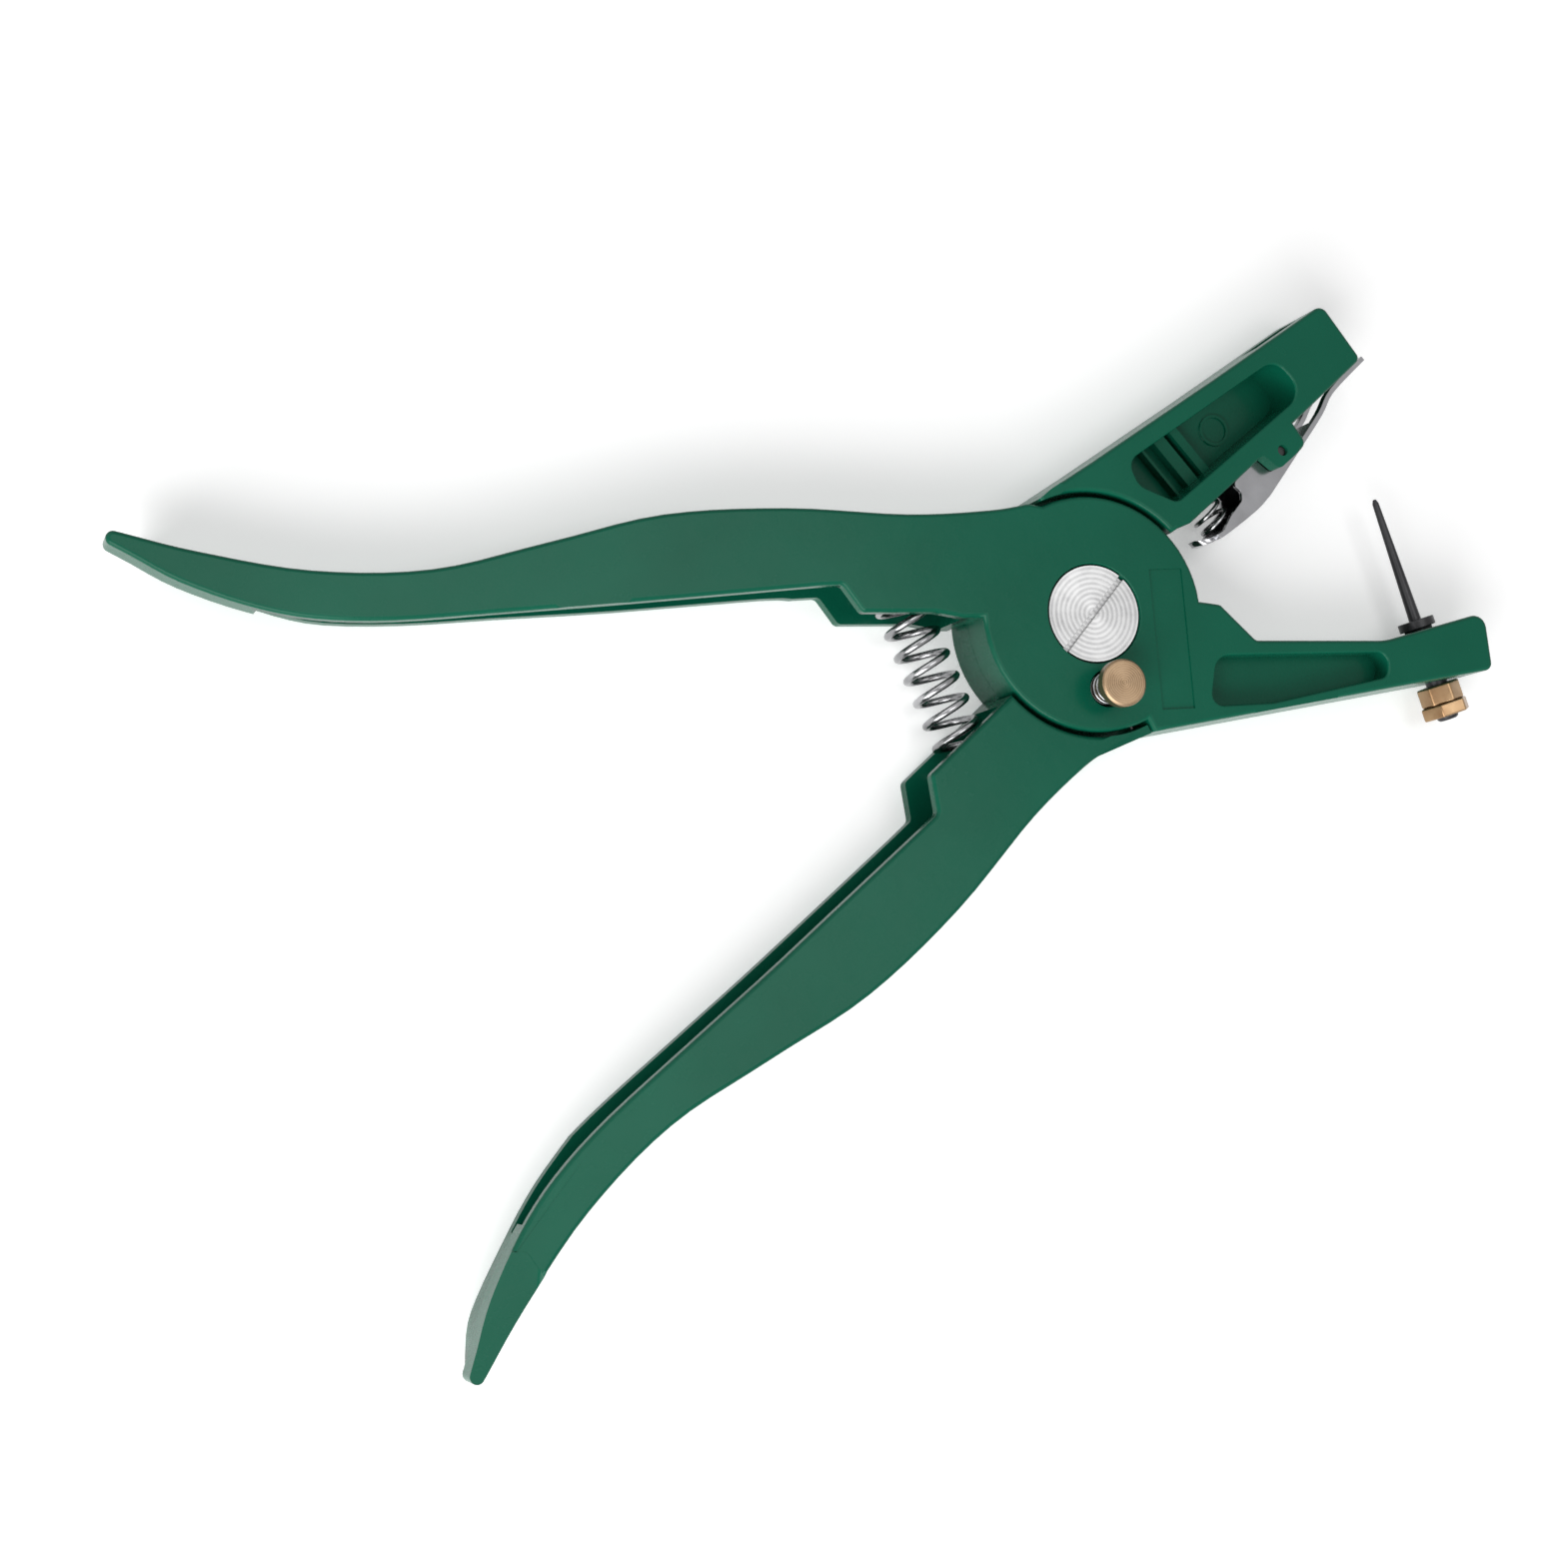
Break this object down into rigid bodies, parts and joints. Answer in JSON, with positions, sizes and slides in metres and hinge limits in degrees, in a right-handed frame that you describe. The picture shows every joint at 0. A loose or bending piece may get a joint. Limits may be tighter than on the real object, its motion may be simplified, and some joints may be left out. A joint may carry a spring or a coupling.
{
  "type": "ear tag applicator",
  "caption": "Spring-opened hand plier with two lapped cast levers, a black tag needle on one jaw and a sprung sheet-metal tag clip on the other, brass lock button and slotted pivot screw",
  "frame": {"origin": "on the pivot axis, at the back face that the tool lies on", "axes": "+X from the handles to the jaws along the middle line of the open tool, +Y towards the clip jaw's side, +Z out of the front face"},
  "size_m": [0.2271, 0.1468, 0.0224],
  "materials": {
    "green_enamel": "satin gloss enamel over a casting",
    "green_enamel_clip": "satin gloss enamel over a casting",
    "turned_steel": "turned, fine rings",
    "spring_steel": "drawn wire",
    "dark_steel": "oiled",
    "black_steel": "black oxide",
    "plated_steel": "bright zinc plating",
    "turned_brass": "turned",
    "brass": "machined"
  },
  "bodies": {
    "needle_side": {"needle_lever": "green_enamel", "pivot_screw": "turned_steel", "pivot_nut": "turned_steel", "main_spring": "spring_steel", "button_spring": "spring_steel", "needle": "black_steel", "needle_nut": "brass", "needle_lock_nut": "brass"},
    "clip_side": {"clip_lever": "green_enamel_clip", "clip_pin": "dark_steel", "clip_spring": "spring_steel"},
    "clip": {"tag_clip": "plated_steel"},
    "button": {"lock_button": "turned_brass", "button_ring": "dark_steel"}
  },
  "joints": [
    {"name": "lever_hinge", "type": "hinge", "parent": "needle_side", "child": "clip_side", "pos_m": [0, 0, 0.0077], "axis": [0, 0, 1], "range_deg": [-34, 0], "stiffness_Nm_per_rad": 0.9, "springref_deg": 20.05, "deforming": ["main_spring"]},
    {"name": "clip_hinge", "type": "hinge", "parent": "clip_side", "child": "clip", "pos_m": [0.04786, 0.01359, 0.0077], "axis": [0, 0, 1], "range_deg": [-7, 0], "stiffness_Nm_per_rad": 0.05, "springref_deg": 28.65, "deforming": ["clip_spring"]},
    {"name": "lock_button_press", "type": "slide", "parent": "needle_side", "child": "button", "axis": [0, 0, -1], "range_m": [0, 0.0022], "stiffness_N_per_m": 300, "springref_m": -0.002, "deforming": ["button_spring"]}
  ]
}
